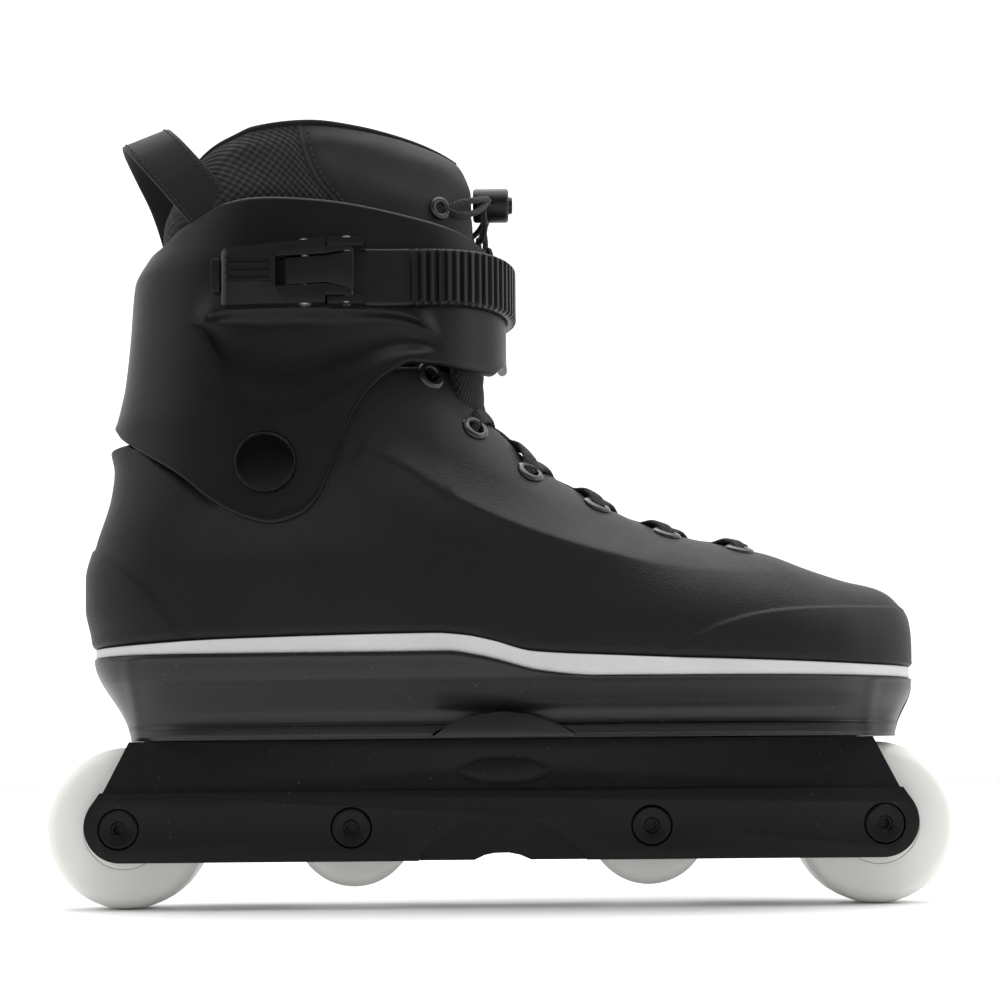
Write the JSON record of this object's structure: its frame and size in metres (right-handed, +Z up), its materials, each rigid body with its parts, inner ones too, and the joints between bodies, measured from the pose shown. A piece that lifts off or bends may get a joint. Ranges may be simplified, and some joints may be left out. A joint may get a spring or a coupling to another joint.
{
  "type": "inline skate",
  "caption": "Right-foot inline skate for street and park use: shell boot with hinged cuff, ratchet strap, laces, sole plate, frame and wheels in line.",
  "frame": {"origin": "on the floor, under the middle of the whole skate", "axes": "+X to the toe, +Y to the inner (medial) side, +Z up"},
  "size_m": [0.3268, 0.1072, 0.2818],
  "materials": {
    "shell_plastic": "matte black moulded shell, faintly mottled",
    "satin_plastic": "satin black nylon",
    "frame_plastic": "satin black glass-filled nylon",
    "midsole_foam": "matte light grey",
    "urethane": "satin off-white urethane",
    "core_plastic": "satin off-white",
    "steel": "bright steel",
    "black_steel": "black oxide",
    "knit": "black knitted mesh and smooth synthetic leather",
    "webbing": "black woven webbing and braid",
    "foam": "dark grey foam"
  },
  "bodies": {
    "root": {"frame": "frame_plastic", "soul_plate": "satin_plastic", "backslide_plate": "satin_plastic", "midsole": "midsole_foam", "frame_bolt_rear": "black_steel", "frame_bolt_front": "black_steel", "frame_nut_rear": "steel", "frame_nut_front": "steel", "boot_shell": "shell_plastic", "pivot_bolt_lateral": "satin_plastic", "pivot_bolt_medial": "satin_plastic", "pivot_nut_lateral": "steel", "pivot_nut_medial": "steel", "liner_foot": "knit", "tongue": "knit", "heel_pad": "foam", "insole": "foam", "lace": "webbing", "axle_bolt_1": "black_steel", "axle_nut_1": "black_steel", "bearing_spacer_1": "steel", "axle_bolt_2": "black_steel", "axle_nut_2": "black_steel", "bearing_spacer_2": "steel", "axle_bolt_3": "black_steel", "axle_nut_3": "black_steel", "bearing_spacer_3": "steel", "axle_bolt_4": "black_steel", "axle_nut_4": "black_steel", "bearing_spacer_4": "steel"},
    "wheel_1": {"tyre_rear": "urethane", "hub_rear": "core_plastic", "bearing_1_lateral": "steel", "bearing_1_medial": "steel"},
    "wheel_2": {"antirocker_rear": "urethane", "bearing_2_lateral": "steel", "bearing_2_medial": "steel"},
    "wheel_3": {"antirocker_front": "urethane", "bearing_3_lateral": "steel", "bearing_3_medial": "steel"},
    "wheel_4": {"tyre_front": "urethane", "hub_front": "core_plastic", "bearing_4_lateral": "steel", "bearing_4_medial": "steel"},
    "cuff": {"cuff": "shell_plastic", "ladder_strap": "satin_plastic", "strap_screw": "steel", "buckle_base": "satin_plastic", "buckle_screw": "steel", "buckle_pin_front": "steel", "liner_collar": "knit", "tongue_top": "knit", "pull_loop": "webbing", "elastic_lace": "webbing", "cord_lock": "satin_plastic"},
    "buckle_lever": {"buckle_lever": "satin_plastic", "buckle_pawl": "satin_plastic", "buckle_pin_rear": "steel"},
    "buckle_release": {"buckle_release": "satin_plastic"},
    "cord_lock_plunger": {"cord_lock_plunger": "satin_plastic"}
  },
  "joints": [
    {"name": "wheel_1_spin", "type": "hinge", "parent": "root", "child": "wheel_1", "pos_m": [-0.1344, 0.00267, 0.029], "axis": [0, 1, 0], "continuous": true},
    {"name": "wheel_2_spin", "type": "hinge", "parent": "root", "child": "wheel_2", "pos_m": [-0.0527, 0.00267, 0.029], "axis": [0, 1, 0], "continuous": true},
    {"name": "wheel_3_spin", "type": "hinge", "parent": "root", "child": "wheel_3", "pos_m": [0.0527, 0.00267, 0.029], "axis": [0, 1, 0], "continuous": true},
    {"name": "wheel_4_spin", "type": "hinge", "parent": "root", "child": "wheel_4", "pos_m": [0.1344, 0.00267, 0.029], "axis": [0, 1, 0], "continuous": true},
    {"name": "cuff_flex", "type": "hinge", "parent": "root", "child": "cuff", "pos_m": [-0.0795, 0.00267, 0.1543], "axis": [0, 1, 0], "range_deg": [0, 10]},
    {"name": "buckle_open", "type": "hinge", "parent": "cuff", "child": "buckle_lever", "pos_m": [-0.0509, -0.05063, 0.2175], "axis": [0, 0, 1], "range_deg": [0, 80]},
    {"name": "release_press", "type": "slide", "parent": "cuff", "child": "buckle_release", "axis": [0, 1, 0], "range_m": [0, 0.0012], "stiffness_N_per_m": 600},
    {"name": "cord_lock_press", "type": "slide", "parent": "cuff", "child": "cord_lock_plunger", "axis": [-1, 0, 0], "range_m": [0, 0.001], "stiffness_N_per_m": 500}
  ]
}
